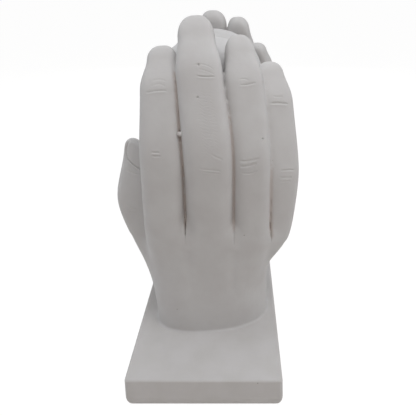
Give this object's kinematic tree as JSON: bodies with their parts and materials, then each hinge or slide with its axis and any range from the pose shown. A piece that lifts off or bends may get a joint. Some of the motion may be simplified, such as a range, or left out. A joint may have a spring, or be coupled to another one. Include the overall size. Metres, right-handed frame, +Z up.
{
  "type": "memorial hands ornament",
  "caption": "Pair of cast hands standing upright on a long plinth, palms facing, holding a puffed heart between them as a memorial ornament.",
  "frame": {"origin": "middle of the felt's underside, on the surface the ornament stands on", "axes": "+Z up, Y along the plinth with the right hand at -Y and the left hand at +Y, X across it with the thumbs at -X"},
  "size_m": [0.0997, 0.2214, 0.19],
  "materials": {
    "hand_plaster": "white casting plaster, matte, with fine pits and sanded patches",
    "heart_plaster": "white casting plaster, matte and smooth",
    "plinth_plaster": "white casting plaster, matte and smooth",
    "felt": "pale pressed felt",
    "dowel_steel": "bright drawn steel rod"
  },
  "bodies": {
    "root": {"base_felt": "felt", "plinth": "plinth_plaster", "held_heart": "heart_plaster", "right_hand": "hand_plaster", "left_hand": "hand_plaster", "right_wrist_dowel_thumb_side": "dowel_steel", "right_wrist_dowel_outer_side": "dowel_steel", "left_wrist_dowel_thumb_side": "dowel_steel", "left_wrist_dowel_outer_side": "dowel_steel", "right_heart_pin": "dowel_steel", "left_heart_pin": "dowel_steel"}
  },
  "joints": []
}
